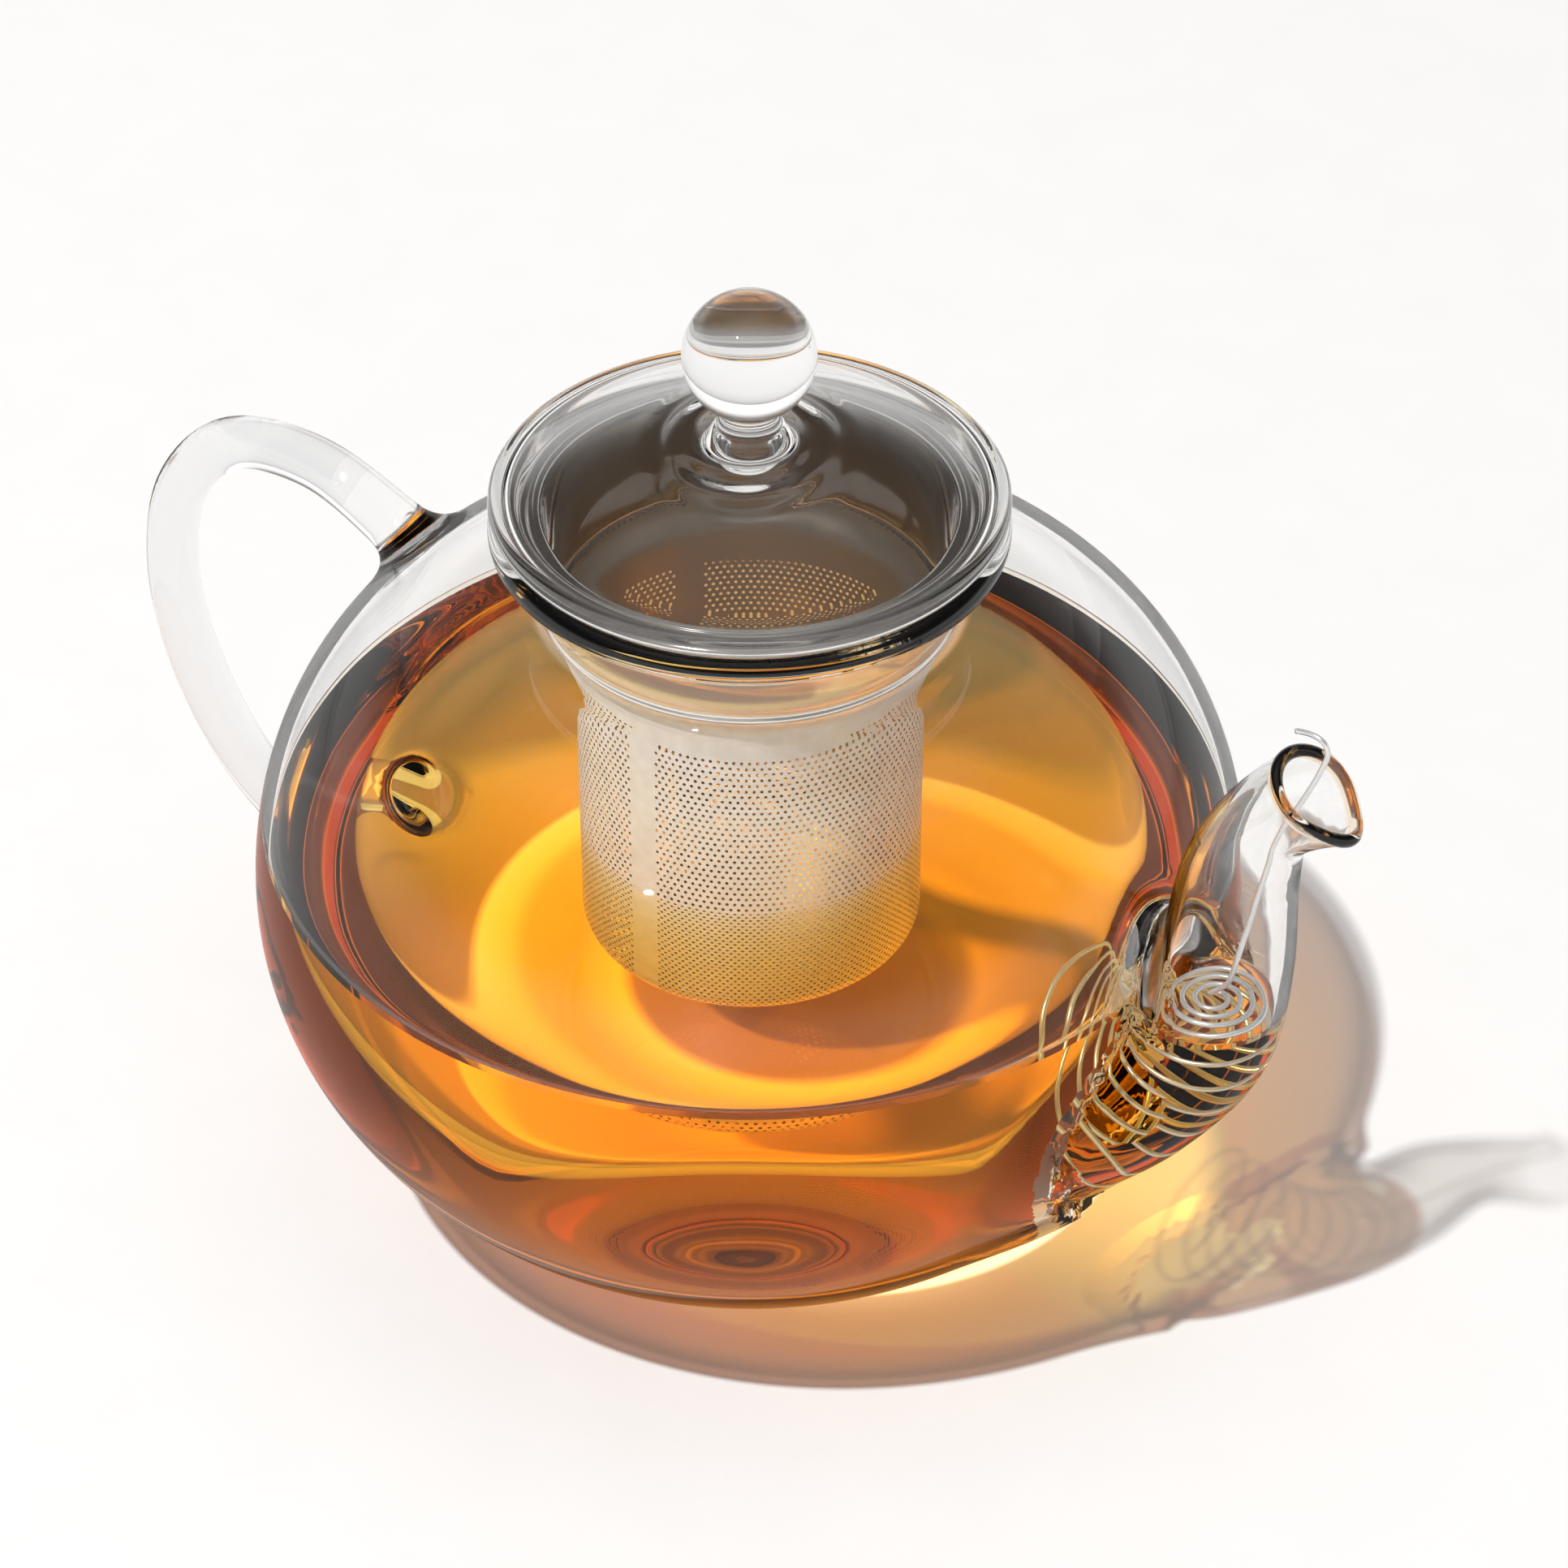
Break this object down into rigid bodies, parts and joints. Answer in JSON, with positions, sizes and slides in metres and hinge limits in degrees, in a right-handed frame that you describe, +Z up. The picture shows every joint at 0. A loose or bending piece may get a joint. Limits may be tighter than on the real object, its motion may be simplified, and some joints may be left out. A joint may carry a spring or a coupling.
{
  "type": "glass teapot",
  "caption": "Round blown-glass teapot with a rod handle, a ball-knobbed glass lid, a lift-out perforated steel infuser and a coiled wire strainer in its spout.",
  "frame": {"origin": "centre of the flat underside of the base, on the body's axis", "axes": "+Z up along the body's axis, +X towards the spout, -X towards the handle"},
  "size_m": [0.2285, 0.1564, 0.1674],
  "materials": {
    "clear_glass": "clear borosilicate, fire polished",
    "polished_steel": "bright polished stainless steel",
    "perforated_steel": "satin stainless sheet with fine punched holes",
    "steel_wire": "drawn stainless wire",
    "tea": "clear amber tea, contents shown only in the visual model"
  },
  "bodies": {
    "pot": {"pot_bowl": "clear_glass", "pot_belly": "clear_glass", "pot_shoulder": "clear_glass", "pot_neck": "clear_glass", "spout": "clear_glass", "handle": "clear_glass"},
    "infuser": {"infuser_flange": "polished_steel", "infuser_collar": "polished_steel", "infuser_drum": "perforated_steel", "infuser_cup": "perforated_steel"},
    "lid": {"lid_dome": "clear_glass", "lid_knob": "clear_glass"},
    "strainer": {"spout_strainer": "steel_wire"}
  },
  "joints": [
    {"name": "infuser_lift", "type": "slide", "parent": "pot", "child": "infuser", "axis": [0, 0, 1], "range_m": [0, 0.098]},
    {"name": "lid_lift", "type": "slide", "parent": "infuser", "child": "lid", "axis": [0, 0, 1], "range_m": [0, 0.06]},
    {"name": "strainer_lift", "type": "slide", "parent": "pot", "child": "strainer", "axis": [0.27, 0, 0.9629], "range_m": [0, 0.002]}
  ]
}
